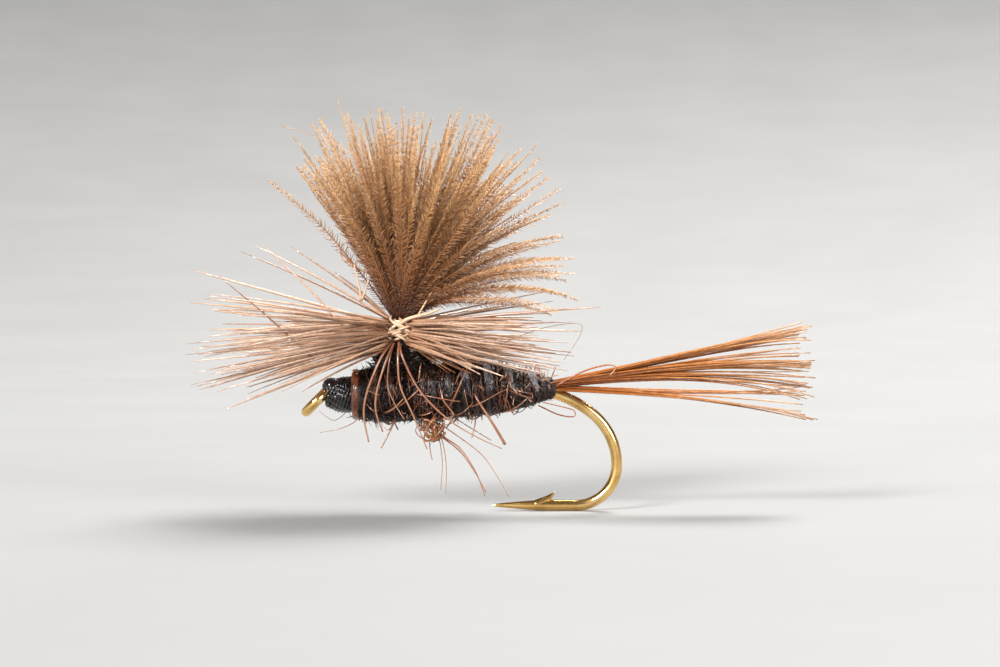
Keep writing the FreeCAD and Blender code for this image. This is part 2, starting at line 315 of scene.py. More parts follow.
def ramp(tree, source, stops):
    """A colour ramp over (position, colour) stops."""
    made = node(tree, "ShaderNodeValToRGB", {"Fac": source})
    elements = made.color_ramp.elements
    while len(elements) < len(stops):
        elements.new(0.5)
    for element, (position, colour) in zip(elements, stops):
        element.position = position
        element.color = (*colour, 1.0)
    return made.outputs["Color"]


def evenly(colours, start=0.0, end=1.0):
    """Ramp stops for the colours, evenly spaced."""
    step = (end - start) / (len(colours) - 1)
    return [(start + i * step, colour) for i, colour in enumerate(colours)]


def arithmetic(tree, operation, source, value=0.0):
    """A Math node on a socket and a number."""
    return node(tree, "ShaderNodeMath", {0: source, 1: value}, operation=operation).outputs[0]


def multiply(tree, first, second):
    """Two colour sockets multiplied."""
    inputs = {0: 1.0, 6: first, 7: second}
    return node(tree, "ShaderNodeMix", inputs, data_type="RGBA", blend_type="MULTIPLY").outputs[2]


def noise(tree, place, scale, detail, roughness=0.5):
    """A noise over a place socket."""
    inputs = {"Vector": place, "Scale": scale, "Detail": detail, "Roughness": roughness}
    return node(tree, "ShaderNodeTexNoise", inputs).outputs["Fac"]


def object_place(tree):
    """The object's own coordinates."""
    return node(tree, "ShaderNodeTexCoord", {}).outputs["Object"]


def varied(tree, source, low, high):
    """A value that goes from low to high with a noise."""
    return node(tree, "ShaderNodeMapRange", {"Value": source, "To Min": low, "To Max": high}).outputs[0]


def fibre_material(name, along_colours, tints, roughness, specular):
    """Feather or hair: colours from root to tip, a tint of its own for each strand, fine mottling.

    A strand's column in the map picks its tint, and the other map axis runs from root to tip."""
    material, tree, shader = tree_of(name)
    strand_map = node(tree, "ShaderNodeUVMap", {}, uv_map=UV_LAYER).outputs["UV"]
    split = node(tree, "ShaderNodeSeparateXYZ", {0: strand_map})
    column, along = split.outputs["X"], split.outputs["Y"]
    scrambled = arithmetic(tree, "FRACT", arithmetic(tree, "MULTIPLY", column, 7.31))
    colour = multiply(tree, ramp(tree, along, along_colours), ramp(tree, scrambled, evenly(tints)))
    stretched = node(tree, "ShaderNodeCombineXYZ", {
        "X": arithmetic(tree, "MULTIPLY", column, 90.0), "Y": arithmetic(tree, "MULTIPLY", along, 26.0)})
    mottle = noise(tree, stretched.outputs[0], 1.0, 4.0, 0.6)
    shadow = ramp(tree, mottle, [(0.3, (0.62, 0.6, 0.58)), (0.62, WHITE)])
    feed(tree, shader, {
        "Base Color": multiply(tree, colour, shadow), "Roughness": varied(tree, mottle, *roughness),
        "Specular IOR Level": specular})
    return material


def solid_material(name, colours, scale, roughness, coat=0.0, bump=0.3, metallic=0.0, specular=0.5):
    """A mottled material for wire, thread, varnish and quill, with its own fine relief."""
    material, tree, shader = tree_of(name)
    place = object_place(tree)
    mottle = noise(tree, place, scale, 6.0, 0.65)
    relief = {"Strength": bump, "Distance": 0.00002, "Height": noise(tree, place, scale * 6, 3.0)}
    feed(tree, shader, {
        "Base Color": ramp(tree, mottle, evenly(colours, 0.3, 0.7)),
        "Roughness": varied(tree, mottle, *roughness),
        "Normal": node(tree, "ShaderNodeBump", relief).outputs[0],
        "Coat Weight": coat, "Coat Roughness": 0.06, "Metallic": metallic, "Specular IOR Level": specular})
    return material


WHITE = (1.0, 1.0, 1.0)
DOWN = fibre_material(
    "down_golden_tan",
    [(0.0, (0.04, 0.012, 0.004)), (0.14, (0.13, 0.042, 0.013)), (0.36, (0.36, 0.145, 0.045)),
     (0.72, (0.56, 0.29, 0.11)), (1.0, (0.74, 0.46, 0.22))],
    [(0.42, 0.36, 0.32), WHITE, (0.66, 0.58, 0.52), (1.0, 0.94, 0.84), (0.52, 0.44, 0.4)],
    (0.24, 0.45), specular=0.8)
HACKLE = fibre_material(
    "hackle_pinkish_tan",
    [(0.0, (0.52, 0.29, 0.17)), (0.2, (0.64, 0.4, 0.26)), (0.75, (0.74, 0.52, 0.38)),
     (1.0, (0.66, 0.44, 0.32))],
    [(0.4, 0.32, 0.28), WHITE, (0.62, 0.52, 0.46), (0.95, 0.88, 0.82), (0.32, 0.25, 0.22),
     (0.85, 0.72, 0.62)],
    (0.12, 0.3), specular=0.9)
TAIL = fibre_material(
    "tail_orange_brown",
    [(0.0, (0.34, 0.09, 0.012)), (0.3, (0.5, 0.17, 0.028)), (0.65, (0.56, 0.24, 0.07)),
     (1.0, (0.62, 0.37, 0.21))],
    [(0.5, 0.4, 0.34), WHITE, (0.72, 0.6, 0.5), (1.0, 0.92, 0.75)],
    (0.16, 0.36), specular=0.7)
LEG = fibre_material(
    "leg_red_brown",
    [(0.0, (0.24, 0.085, 0.04)), (0.5, (0.38, 0.17, 0.09)), (1.0, (0.44, 0.22, 0.12))],
    [(0.5, 0.4, 0.34), WHITE, (0.7, 0.6, 0.5), (1.0, 0.8, 0.6)],
    (0.14, 0.32), specular=0.8)
AMBER = fibre_material(
    "leg_amber",
    [(0.0, (0.26, 0.09, 0.03)), (0.5, (0.46, 0.2, 0.06)), (1.0, (0.56, 0.28, 0.1))],
    [(0.5, 0.42, 0.36), WHITE, (0.6, 0.45, 0.35), (0.9, 0.7, 0.5)],
    (0.18, 0.36), specular=0.7)
BUTT = fibre_material(
    "wing_butt_brown",
    [(0.0, (0.56, 0.29, 0.15)), (0.5, (0.56, 0.26, 0.11)), (1.0, (0.42, 0.18, 0.08))],
    [(0.5, 0.42, 0.36), WHITE, (0.7, 0.6, 0.5), (1.0, 0.85, 0.7)],
    (0.16, 0.36), specular=0.7)
HERL_STEM = fibre_material(
    "herl_stem_red_brown",
    [(0.0, (0.1, 0.032, 0.014)), (0.6, (0.17, 0.06, 0.028)), (1.0, (0.24, 0.095, 0.05))],
    [(0.45, 0.38, 0.34), WHITE, (0.65, 0.55, 0.5), (1.0, 0.8, 0.7)],
    (0.1, 0.26), specular=0.7)
HERL = fibre_material(
    "herl_dark",
    [(0.0, (0.006, 0.003, 0.002)), (0.6, (0.02, 0.009, 0.006)), (1.0, (0.06, 0.026, 0.016))],
    [(0.5, 0.5, 0.5), (0.25, 0.25, 0.28), WHITE, (0.35, 0.33, 0.33), (0.8, 0.6, 0.5)],
    (0.06, 0.2), specular=0.4)
QUILL_STEM = fibre_material(
    "hackle_quill_cream",
    [(0.0, (0.62, 0.41, 0.25)), (0.5, (0.72, 0.51, 0.34)), (1.0, (0.8, 0.62, 0.46))],
    [(0.72, 0.62, 0.54), WHITE, (0.88, 0.78, 0.68)],
    (0.25, 0.45), specular=0.6)
GOLD = solid_material(
    "hook_gold", [(0.5, 0.28, 0.08), (0.8, 0.51, 0.18), (0.95, 0.69, 0.32)], 900.0, (0.08, 0.2),
    bump=0.04, metallic=1.0)
THREAD = solid_material(
    "thread_dark", [(0.012, 0.007, 0.005), (0.045, 0.022, 0.014)], 3000.0, (0.35, 0.6))
HEAD = solid_material(
    "head_varnished", [(0.002, 0.0015, 0.0015), (0.008, 0.005, 0.005)], 2200.0, (0.06, 0.16),
    coat=1.0, bump=0.2, specular=0.3)
BAND = solid_material(
    "quill_red_brown", [(0.04, 0.01, 0.004), (0.3, 0.075, 0.026)], 2600.0, (0.12, 0.26), coat=0.8)
RIB = solid_material(
    "rib_quill_grey", [(0.06, 0.055, 0.058), (0.29, 0.27, 0.28)], 5200.0, (0.22, 0.4))
CORE = solid_material(
    "herl_core", [(0.005, 0.003, 0.003), (0.022, 0.01, 0.007)], 2400.0, (0.3, 0.55), bump=0.6)


# ---------- the hook

WIRE_R = 0.22
EYE_WIRE_R = 0.2
EYE_SLOPE = np.array([1.0, 0.0, 1.0]) / math.sqrt(2)
EYE_RING_R = 0.55
BEND_START_X = 8.3
# The bend's arcs: radius and turn in degrees.
BEND_ARCS = ((4.35, 40.0), (2.64, 50.0), (1.62, 90.0))
POINT_TIP_X = 7.02
POINT_TAPER = 2.0
# The hook's own barb: where it is along the point, and how far it stands above the wire's centre.
BARB_X = (8.76, 9.12, 9.36, 9.56)
BARB_RISE = (0.0, 0.17, 0.34, 0.52)


def arc_end(start, radius, heading, turn):
    """The end of an arc that bends downwards from a heading below +X."""
    a, b = math.radians(heading), math.radians(heading + turn)
    return start + radius * np.array([math.sin(b) - math.sin(a), 0, math.cos(b) - math.cos(a)])


def bend_points(start, steps=12):
    """Points round the bend: gentle above, tighter below."""
    points, heading = [], 0.0
    for radius, turn in BEND_ARCS:
        points += [arc_end(start, radius, heading, turn * (i + 1) / steps) for i in range(steps)]
        start = points[-1]
        heading += turn
    return points


def wire_radii(path, ring_length):
    """The wire's radius along its path: a little thinner in the eye, and tapered to the point."""
    travelled = np.concatenate([[0], np.cumsum(np.linalg.norm(np.diff(path, axis=0), axis=1))])
    radii = np.clip(EYE_WIRE_R + (travelled - ring_length) * 0.05, EYE_WIRE_R, WIRE_R)
    to_tip = np.clip((travelled[-1] - travelled) / POINT_TAPER, 0, 1)
    radii = np.maximum(radii * (0.75 * np.sqrt(to_tip) + 0.25 * to_tip), 0.012)
    radii[:3] = EYE_WIRE_R * np.array([0.72, 0.9, 0.98])
    return radii


def hook():
    """The bent wire: the ring of the eye, the shank, the bend, and the point with its raised barb."""
    rng = seeded(1)
    sideways = np.array([0.0, 1.0, 0.0])
    angles = np.radians(np.linspace(350, 46, 30))
    ring = [EYE_RING_R * (EYE_SLOPE * math.cos(a) + sideways * math.sin(a)) for a in angles]
    neck = [EYE_SLOPE * 0.76 + sideways * 0.14, (0.84, 0.02, SHANK_Z - 0.03), (1.4, 0, SHANK_Z)]
    shank = [(x, 0, SHANK_Z) for x in np.linspace(2.0, BEND_START_X, 8)]
    bend = bend_points(np.array([BEND_START_X, 0, SHANK_Z]))
    run_z = bend[-1][2]
    run = [(x, 0, run_z) for x in np.linspace(bend[-1][0] - 0.4, POINT_TIP_X, 12)]
    path = smooth(ring + neck + shank + bend + run, 900)
    strands = Strands()
    strands.add(path, wire_radii(path, EYE_RING_R * abs(angles[0] - angles[-1])), rng, sides=40)
    barb = smooth([(x, 0, run_z + rise) for x, rise in zip(BARB_X, BARB_RISE)], 16)
    barb_r = 0.2 * (1 - np.linspace(0, 1, 16) ** 1.5) + 0.02
    strands.add(barb, barb_r, rng, sides=16, flatten=0.9)
    strands.build("hook_wire", GOLD, "hook_wire", "hook", own_map=False)


# ---------- the body

HAIR_TAPER = np.array([1.0, 1.0, 0.95, 0.85, 0.65, 0.3])


def herl_winding():
    """The dark strand wound in close, uneven turns over the thorax and the abdomen."""
    for part, (start, end), turns, strand_r, seed in (
            ("thorax", THORAX_X, 13, 0.21, 11), ("abdomen", ABDOMEN_X, 15, 0.13, 12)):
        rng = seeded(seed)
        lumps = np.interp(np.linspace(0, 1, 2000), np.linspace(0, 1, 60), rng.normal(0, 0.045, 60))
        path, _ = wind(
            body_centre(start), body_centre(end),
            lambda t: body_radius(start + t * (end - start)) - strand_r * 1.15 + lumps[int(t * 1999)],
            turns, 40, 0.3, 0.03, rng)
        rough = strand_r * (1 + rng.normal(0, 0.1, len(path)))
        Strands().add(path, rough, rng, sides=10).build(
            f"{part}_winding", CORE, "dark_herl", f"{part}_herl", own_map=False)


def flue_paths(x, angle, turn, shift, base, lift, points=6):
    """Hairs that follow the body's surface round the shank, lifting off towards their tips."""
    t = np.linspace(0, 1, points)[None, :]
    along = x[:, None] + shift[:, None] * t
    round_shank = angle[:, None] + turn[:, None] * t
    radius = body_radius(along) + base[:, None] + lift[:, None] * t ** 1.7
    return np.stack([along, radius * np.cos(round_shank), body_z(along) + radius * np.sin(round_shank)], -1)


def body_fuzz():
    """The fine side hairs of the herl, combed round the body, with some that stand off it."""
    for part, (start, end), count, standing, seed in (
            ("thorax", THORAX_X, 4200, 1.0, 21), ("abdomen", ABDOMEN_X, 2600, 0.6, 22)):
        rng = seeded(seed)
        x = rng.uniform(start - 0.12, end - 0.1, count)
        angle = rng.uniform(0, 2 * np.pi, count)
        turn = rng.normal(0.25, 0.62, count)
        shift = rng.normal(0.1, 0.22, count)
        lift = np.abs(rng.normal(0, 0.07, count))
        lift = (lift + (rng.uniform(0, 1, count) > 0.92) * rng.uniform(0, 0.35, count)) * standing
        paths = flue_paths(x, angle, turn, shift, rng.uniform(-0.1, 0.0, count), lift)
        radii = rng.uniform(0.011, 0.022, (count, 1)) * HAIR_TAPER
        Strands().add(paths, radii, rng).build(f"{part}_fuzz", HERL, "dark_herl")


def body_glints():
    """Longer red-brown strands that wander over the body, some in small loops."""
    rng = seeded(23)
    count = 240
    x = rng.uniform(THORAX_X[0] + 0.2, ABDOMEN_X[1] - 0.5, count)
    paths = flue_paths(
        x, rng.uniform(0, 2 * np.pi, count), rng.normal(0.3, 1.2, count), rng.normal(0.05, 0.36, count),
        rng.uniform(-0.05, 0.05, count), np.abs(rng.normal(0, 0.12, count)), points=12)
    radii = rng.uniform(0.012, 0.032, (count, 1)) * (1 - 0.6 * np.linspace(0, 1, 12) ** 2)
    Strands().add(paths, radii, rng, sides=5).build("body_strands", HERL_STEM, "dark_herl")


def body_loops():
    """Coarser red-brown fibres that stand off the near side, the far side and the belly in small arcs."""
    rng = seeded(24)
    count = 76
    t = np.linspace(0, 1, 16)[None]
    x = rng.uniform(THORAX_X[0] + 0.3, ABDOMEN_X[1] - 0.8, (count, 1))
    x = x + rng.normal(0.1, 0.6, (count, 1)) * t
    angle = np.radians(rng.uniform(140, 400, (count, 1))) + rng.normal(0, 0.9, (count, 1)) * t
    lift = rng.uniform(0.06, 0.42, (count, 1)) * np.sin(math.pi * t * rng.uniform(0.5, 1.0, (count, 1)))
    radius = body_radius(x) - 0.02 + lift
    paths = np.stack([x, radius * np.cos(angle), body_z(x) + radius * np.sin(angle)], -1)
    radii = rng.uniform(0.018, 0.042, (count, 1)) * (1 - 0.5 * t ** 2)
    Strands().add(paths, radii, rng, sides=6).build("body_loops", LEG, "dark_herl")


def rear_stubs():
    """Short stiff stubs that stand out of the top and sides of the rear of the abdomen."""
    rng = seeded(31)
    count = 120
    x = rng.uniform(ABDOMEN_X[0] + 1.4, ABDOMEN_X[1] + 0.05, count)
    angle = math.pi / 2 + rng.normal(0, 1.0, count)
    outward = np.stack([rng.normal(0.15, 0.4, count), np.cos(angle), np.sin(angle)], -1)
    foot = body_radius(x) - 0.12
    root = np.stack([x, np.cos(angle) * foot, SHANK_Z + np.sin(angle) * foot], -1)
    length = rng.uniform(0.24, 0.46, count)
    hooked = rng.normal(0, 0.12, (count, 1, 3))
    t = np.linspace(0, 1, 6)[None, :, None]
    paths = root[:, None] + unit(outward)[:, None] * t * length[:, None, None] + hooked * t ** 2
    radii = np.linspace(0.034, 0.018, 6) * rng.uniform(0.6, 1.2, (count, 1))
    Strands().add(paths, radii, rng, sides=6).build("abdomen_stubs", HACKLE, "dark_herl")


def abdomen_rib():
    """The grey quill wound in open turns over the abdomen: a flat bundle of fine threads."""
    rng = seeded(5)
    low, high = box_mm("abdomen_rib")
    start, end, centre_z = low[0] - 0.1, high[0] + 0.05, SHANK_Z + 0.09
    path, outward = wind((start, 0, centre_z), (end, 0, centre_z),
                         lambda t: body_radius(start + t * (end - start)) - 0.03, 3.3, 60, 0.9, 0.05, rng)
    path[:, 1] *= 0.97
    strands = Strands()
    for place in range(-3, 4):
        shifted = path + np.array([place * 0.045, 0, 0]) + rng.normal(0, 0.006, path.shape)
        strands.add(shifted, 0.03, rng, sides=6, normals=outward)
    strands.build("abdomen_rib_quill", RIB, "rib_quill", "abdomen_rib", own_map=False)


def tail_tie_down():
    """The turns of thread that bind the tail."""
    rng = seeded(6)
    low, high = box_mm("tail_tie_down")
    path, outward = wind((low[0] - 0.35, 0, SHANK_Z), (high[0] + 0.05, 0, SHANK_Z),
                         lambda t: TAIL_TIE_R + 0.06 - 0.14 * t, 11, 36, 0, 0.02, rng)
    add_thread(Strands(), path, outward, 0.045, 70, rng).build(
        "tail_thread", THREAD, "thread", "tail_tie_down", own_map=False)


def quill_band():
    """The red-brown quill between the thorax and the head: a little over three bowed turns."""
    rng = seeded(7)
    low, high = box_mm("thorax_quill_band")
    band_r = half_size("thorax_quill_band", 1)
    path, outward = wind(
        body_centre(low[0] + 0.1), body_centre(high[0] - 0.04),
        lambda t: band_r - 0.15 + 0.04 * math.sin(math.pi * t), 3.2, 70, 0.4, 0.02, rng)
    Strands().add(path, 0.075, rng, sides=12, normals=outward, flatten=0.6).build(
        "thorax_quill", BAND, "quill", "thorax_quill_band", own_map=False)


def head():
    """The varnished thread head: twisted turns over a blunt cone that ends at the neck of the wire."""
    rng = seeded(8)
    low, high = box_mm("head_thread")
    head_r = half_size("head_thread", 1)
    front = np.array([0.42, 0, (low[2] + high[2]) / 2 - 0.05])
    back = np.array([high[0] + 0.05, 0, body_z(high[0])])

    def radius(t):
        return head_r * (0.5 + 0.52 * math.sin(min(1.0, t * 1.3 + 0.12) * math.pi / 2)) - 0.08

    strands = Strands()
    for turns, phase, inset in ((10, 0.0, 0.0), (8, 2.0, 0.03)):
        path, outward = wind(front, back, lambda t: radius(t) - inset, turns, 44, phase, 0.015, rng)
        add_thread(strands, path, outward, 0.085, turns * 6.37, rng, sides=7)
    strands.build("head_wraps", HEAD, "thread", "head_thread", own_map=False)


def cement():
    """The drop of cement that fills the front of the head, round the neck of the wire."""
    rng = seeded(9)
    bulge = EYE_SLOPE * 0.85 + np.array([0.03, 0, -0.03])
    path = smooth([EYE_SLOPE * 0.6, EYE_SLOPE * 0.72, bulge, (0.86, 0, 0.4)], 24)
    radii = 0.44 * np.sin(np.linspace(0.62, 1.45, 24)) + rng.normal(0, 0.004, 24)
    Strands().add(path, radii, rng, sides=28).build(
        "head_cement_drop", HEAD, "cement", "head_cement", own_map=False)


# ---------- post and hackle

def wing_post():
    """The bundled feather stems, the thread wound round their foot, and the herl that hides it."""
    rng = seeded(10)
    low, high = box_mm("wing_stem_bundle")
    count = 40
    angle = rng.uniform(0, 2 * np.pi, count)
    spread_r = 0.26 * np.sqrt(rng.uniform(0, 1, count))
    t = np.linspace(0, 1, 10)[None, :]
    twist = angle[:, None] + t * 0.7
    reach = spread_r[:, None] * (1 + 0.9 * np.clip(t - 0.85, 0, 1) / 0.15)
    z = np.broadcast_to(low[2] + (high[2] + 0.5 - low[2]) * t, twist.shape)
    paths = np.stack([POST_X + reach * np.cos(twist), reach * np.sin(twist), z], -1)
    span = np.tile([0.0, 0.12], (count, 1))
    Strands().add(paths, np.linspace(0.06, 0.035, 10), rng, sides=6, span=span).build(
        "wing_stems", DOWN, "down", "wing_stem_bundle")
    low, high = box_mm("wing_post_wraps")
    wrap_r = half_size("wing_post_wraps", 0) - 0.09
    path, outward = wind((POST_X, 0, low[2]), (POST_X, 0, high[2]), lambda t: wrap_r, 9, 40, 0, 0.01, rng)
    add_thread(Strands(), path, outward, 0.06, 60, rng).build(
        "post_thread", THREAD, "thread", "wing_post_wraps", own_map=False)
    post_fluff(low[2] - 0.15, high[2] + 0.1)


def post_fluff(bottom, top):
    """Dark herl fibres that wrap the foot of the post and fill the space under the hackle."""
    rng = seeded(13)
    count = 700
    angle = rng.uniform(0, 2 * np.pi, count)
    height = rng.uniform(bottom, top, count)
    t = np.linspace(0, 1, 6)[None, :]
    turned = angle[:, None] + rng.normal(0.2, 0.8, (count, 1)) * t
    flare = 0.45 + 0.55 * ((top - height) / (top - bottom))[:, None]
    flare = flare + rng.uniform(0, 0.28, (count, 1)) * t
    z = height[:, None] + rng.normal(-0.05, 0.22, (count, 1)) * t
    x = POST_X + 0.1 + flare * 1.25 * np.cos(turned)
    paths = np.stack([x, flare * np.sin(turned), z], -1)
    radii = rng.uniform(0.014, 0.026, (count, 1)) * np.array([1.0, 1.0, 0.95, 0.85, 0.6, 0.3])
    Strands().add(paths, radii, rng).build("post_herl", HERL, "dark_herl")


def crossing_strands(strands, rng):
    """Short arcs that slope both ways over the turns of the stem, their ends tucked in."""
    count = 64
    middle_z = (HUB_LOW + HUB_HIGH) / 2 + rng.uniform(-0.42, 0.3, (count, 1))
    slope = np.tan(np.radians(rng.uniform(24, 52, (count, 1)))) * rng.choice([-1, 1], (count, 1))
    half_turn = rng.uniform(0.4, 0.75, (count, 1))
    t = np.linspace(-1, 1, 14)[None, :]
    angle = rng.uniform(0, 2 * np.pi, (count, 1)) + half_turn * t
    reach = HUB_R + rng.uniform(0.14, 0.32, (count, 1)) - 0.34 * t ** 2
    z = middle_z + slope * half_turn * HUB_R * t
    paths = np.stack([POST_X + reach * np.cos(angle), reach * np.sin(angle), z], -1)
    radii = rng.uniform(0.038, 0.07, (count, 1)) * (1 - 0.45 * t ** 4)
    strands.add(paths, radii, rng, sides=8)


def hackle_stem():
    """The cream stem of the hackle: its turns round the post and the strands that cross them."""
    rng = seeded(12)
    strands = Strands()
    stem_r = 0.075
    foot, top = (POST_X, 0, HUB_LOW + 0.1), (POST_X, 0, HUB_HIGH - 0.12)
    for turns, phase, lift, tilt in (
            (4.4, 0.0, 0.02, 0.12), (3.7, 2.2, 0.08, -0.24), (3.1, 4.0, 0.14, 0.3)):
        path, _ = wind(foot, top, lambda t: HUB_R - stem_r + lift, turns, 40, phase, 0.03, rng)
        path[:, 2] += tilt * (path[:, 0] - POST_X)
        strands.add(path, stem_r * 0.85, rng, sides=9)
    crossing_strands(strands, rng)
    strands.build("hackle_quill", QUILL_STEM, "hackle_quill", "hackle_stem")
    hackle_stem_end(rng)


def hackle_stem_end(rng):
    """The stem's end, laid back over the body, a branch beside it and a forked stub in front."""
    low, high = box_mm("hackle_stem_end")
    strands = Strands()
    end = smooth([(POST_X - 0.05, -0.52, HUB_HIGH - 0.34), (POST_X + 0.35, -0.68, HUB_HIGH - 0.06),
                  (low[0] + 0.6, -0.66, low[2] + 0.32), (high[0], -0.5, high[2])], 20)
    strands.add(end, np.linspace(0.14, 0.06, 20), rng, sides=9, flatten=0.7)
    branch = smooth([(low[0] + 0.1, -0.45, low[2] + 0.1), (low[0] + 0.5, -0.45, low[2] + 0.8),
                     (low[0] + 0.98, -0.4, low[2] + 1.6)], 14)
    strands.add(branch, np.linspace(0.045, 0.02, 14), rng, sides=6)
    fork = np.array([POST_X - 1.52, -0.5, HUB_HIGH + 0.66])
    for tip in np.array([(-0.28, -0.1, 1.44), (0.28, 0.0, 0.84)]):
        prong = smooth([fork, fork + tip * 0.5 + np.array([0.03, 0, 0]), fork + tip], 12)
        strands.add(prong, np.linspace(0.05, 0.024, 12), rng, sides=6)
    strands.build("hackle_quill_end", QUILL_STEM, "hackle_quill", "hackle_stem_end")


BARB_TAPER = np.array([1.0, 1.0, 0.99, 0.96, 0.9, 0.82, 0.7, 0.52, 0.2])


def barb_paths(azimuth, rise, length, root_z, sag, rng):
    """Hackle barbs from the hub: nearly straight, with a slight droop and a slight sideways bow."""
    count, points = len(azimuth), len(BARB_TAPER)
    flat, up = np.zeros(count), np.array([0, 0, 1.0])
    outward = np.stack([np.cos(azimuth), np.sin(azimuth), flat], -1)
    sideways = np.stack([-np.sin(azimuth), np.cos(azimuth), flat], -1)
    aim = outward * np.cos(rise)[:, None] + up * np.sin(rise)[:, None]
    t = np.linspace(0, 1, points)[None, :, None]
    root = np.array([POST_X, 0, 0]) + outward * (HUB_R - 0.08) + up * root_z[:, None]
    bow = sideways[:, None] * rng.normal(0, 0.22, count)[:, None, None] - up * sag[:, None, None]
    return root[:, None] + aim[:, None] * t * length[:, None, None] + bow * t ** 2


def gathered(azimuth, clumps, rng):
    """Azimuths drawn together into clumps and parted at the near side, and the rise of each one's clump."""
    parting = -math.pi / 2
    centres = 2 * np.pi * (np.arange(clumps) + rng.uniform(-0.3, 0.3, clumps)) / clumps
    away = np.angle(np.exp(1j * (azimuth[:, None] - centres[None, :])))
    nearest = np.abs(away).argmin(axis=1)
    azimuth = azimuth - 0.6 * away[np.arange(len(azimuth)), nearest]
    from_parting = np.angle(np.exp(1j * (azimuth - parting)))
    azimuth = azimuth + 0.42 * np.sign(from_parting) * np.exp(-(from_parting / 0.6) ** 2)
    return azimuth, rng.normal(0, 2.0, clumps)[nearest]


def hackle():
    """The stiff barbs of the hackle, turn by turn: long and spread in front, shorter behind."""
    for turn in range(4):
        rng = seeded(40 + turn)
        count = 60
        even = 2 * np.pi * (np.arange(count) + rng.uniform(-0.4, 0.4, count)) / count
        azimuth = even - 0.2 * np.sin(2 * even)
        azimuth, pull = gathered(azimuth, 20, rng)
        front = (1 - np.cos(azimuth)) / 2
        tilt = -5.0 * front + 0.8 * (1 - front)
        rise = tilt + (-8 + 5.4 * turn) * (0.6 + 0.5 * front) + rng.normal(0, 2.4 + 3.4 * front, count)
        toward_side = np.abs(np.sin(azimuth)) ** 4
        rise = np.radians(rise * (1 - 0.6 * toward_side) + 1.5 * toward_side + pull)
        length = np.clip(5.5 + 1.5 * front + rng.normal(0, 0.75, count), 4.0, 8.2)
        height = HUB_LOW - 0.14 + (HUB_HIGH - HUB_LOW + 0.02) * (turn + rng.uniform(0, 1, count)) / 4
        paths = barb_paths(azimuth, rise, length, height, rng.uniform(0.0, 0.45, count), rng)
        radii = rng.uniform(0.034, 0.06, (count, 1)) * BARB_TAPER
        strands = Strands()
        strands.add(paths, radii, rng, sides=6)
        if turn == 3:
            stray_barbs(strands, rng)
        strands.build(f"hackle_turn_{turn + 1}", HACKLE, "hackle", f"hackle_barbs_turn_{turn + 1}")


def stray_barbs(strands, rng):
    """The few barbs that stand well above the rest in front, two that cross them, and a loose hair."""
    hub = np.array([POST_X - 0.2, -0.3, HUB_HIGH - 0.2])
    for reach, rise, side in (
            (5.2, 36, 0.2), (6.4, 29, -0.5), (6.8, 24.5, 0.6), (3.1, 40, -0.3), (7.3, 9, -0.9)):
        aim = np.array([-math.cos(math.radians(rise)), 0, math.sin(math.radians(rise))])
        tip = hub + reach * aim + np.array([0, side, 0])
        path = smooth([hub, (hub + tip) / 2 + np.array([0, 0, 0.1]), tip], len(BARB_TAPER))
        strands.add(path, 0.046 * BARB_TAPER, rng, sides=6)
    for foot, tip in (((0.0, -1.3, 1.75), (-3.72, -1.5, 5.04)), ((1.3, -1.0, 2.9), (-1.92, -1.2, 6.2))):
        path = smooth([foot, np.add(foot, tip) / 2 + np.array([0.05, 0, 0.05]), tip], len(BARB_TAPER))
        strands.add(path, 0.042 * BARB_TAPER, rng, sides=6)
    hair = smooth([(7.3, -0.6, 2.3), (9.0, -0.7, 2.95), (10.45, -0.7, 3.15), (10.55, -0.7, 2.7),
                   (9.9, -0.7, 1.7)], 40)
    strands.add(hair, np.linspace(0.018, 0.01, 40), rng, sides=5)


# ---------- wing

def down_paths(count, fans, leans, reaches, arch, rng, points=18):
    """The long barbs of one feather, fanned from the post: arched at the root, then bowed and wavy."""
    fan = np.radians(np.linspace(*fans, count) + rng.normal(0, 3.2, count))
    lean = np.radians(rng.uniform(*leans, count))
    aim = np.stack([np.cos(fan) * np.cos(lean), np.sin(lean), np.sin(fan) * np.cos(lean)], -1)
    reach = rng.uniform(*reaches, count)[:, None, None]
    t = np.linspace(0, 1, points)[None, :, None]
    root_angle = rng.uniform(0, 2 * np.pi, count)
    root = WING_ROOT + 0.24 * np.stack([np.cos(root_angle), np.sin(root_angle), np.zeros(count)], -1)
    start = unit(aim + np.array([0, 0, 0.9]))
    bow = unit(np.cross(aim, rng.normal(0, 1, (count, 3)))) * rng.normal(0, 0.48, (count, 1))
    sway = unit(np.cross(aim, rng.normal(0, 1, (count, 3)))) * rng.uniform(0.0, 0.14, (count, 1))
    phase = rng.uniform(0, 6, (count, 1, 1))
    return (root[:, None] + aim[:, None] * t * reach + (start - aim)[:, None] * t * (1 - t) * reach * arch
            + bow[:, None] * t ** 2 + sway[:, None] * np.sin(t * 9 + phase) * t)


def wing_feather(name, count, fans, leans, reaches, arch, seed, loose=()):
    """One downy feather: long barbs, each with fine side hairs, and any loose hairs beside them."""
    rng = seeded(seed)
    paths = down_paths(count, fans, leans, reaches, arch, rng)
    strands = Strands()
    stem = np.linspace(0.038, 0.01, paths.shape[1]) * rng.uniform(0.8, 1.15, (count, 1))
    strands.add(paths, stem, rng)
    add_barbules(strands, paths, rng)
    for route, thick in loose:
        radii = np.linspace(thick, thick * 0.5, 30)
        strands.add(smooth(route, 30), radii, rng, sides=5, span=np.array([[0.4, 1.0]]))
    strands.build(name, DOWN, "down", name.replace("down", "wing_feather"))


